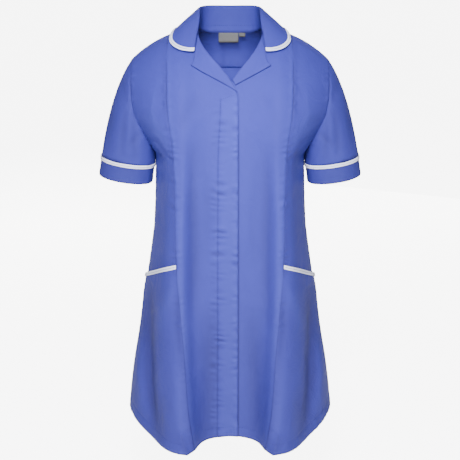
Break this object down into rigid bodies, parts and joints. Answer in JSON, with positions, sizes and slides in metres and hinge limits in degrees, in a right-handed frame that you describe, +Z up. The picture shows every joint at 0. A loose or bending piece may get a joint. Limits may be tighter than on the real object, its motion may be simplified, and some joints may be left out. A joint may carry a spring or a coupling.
{
  "type": "maternity tunic",
  "caption": "Short-sleeved A-line maternity tunic with a rounded collar, revers, concealed front, slanted hip pockets and contrast braid, filled out as worn.",
  "frame": {"origin": "midway between the two side neck points, at the height where the wearer's shoulders carry the tunic", "axes": "+Z up, the front faces -Y, the wearer's right side is at -X"},
  "size_m": [0.5254, 0.3678, 0.8536],
  "materials": {
    "cloth": "plain-weave polyester and cotton",
    "braid": "flat woven braid",
    "label": "woven ribbon, blank"
  },
  "bodies": {
    "root": {"front_right": "cloth", "front_left": "cloth", "side_front_right": "cloth", "side_front_left": "cloth", "pocket_front_right": "cloth", "pocket_front_left": "cloth", "pocket_braid_right": "braid", "pocket_braid_left": "braid", "sleeve_right": "cloth", "sleeve_left": "cloth", "cuff_right": "cloth", "cuff_left": "cloth", "cuff_braid_right": "braid", "cuff_braid_left": "braid", "lapel_right": "cloth", "lapel_left": "cloth", "back": "cloth", "back_neck_facing": "cloth", "collar": "cloth", "collar_braid": "braid", "label": "label", "size_tab": "label"}
  },
  "joints": []
}
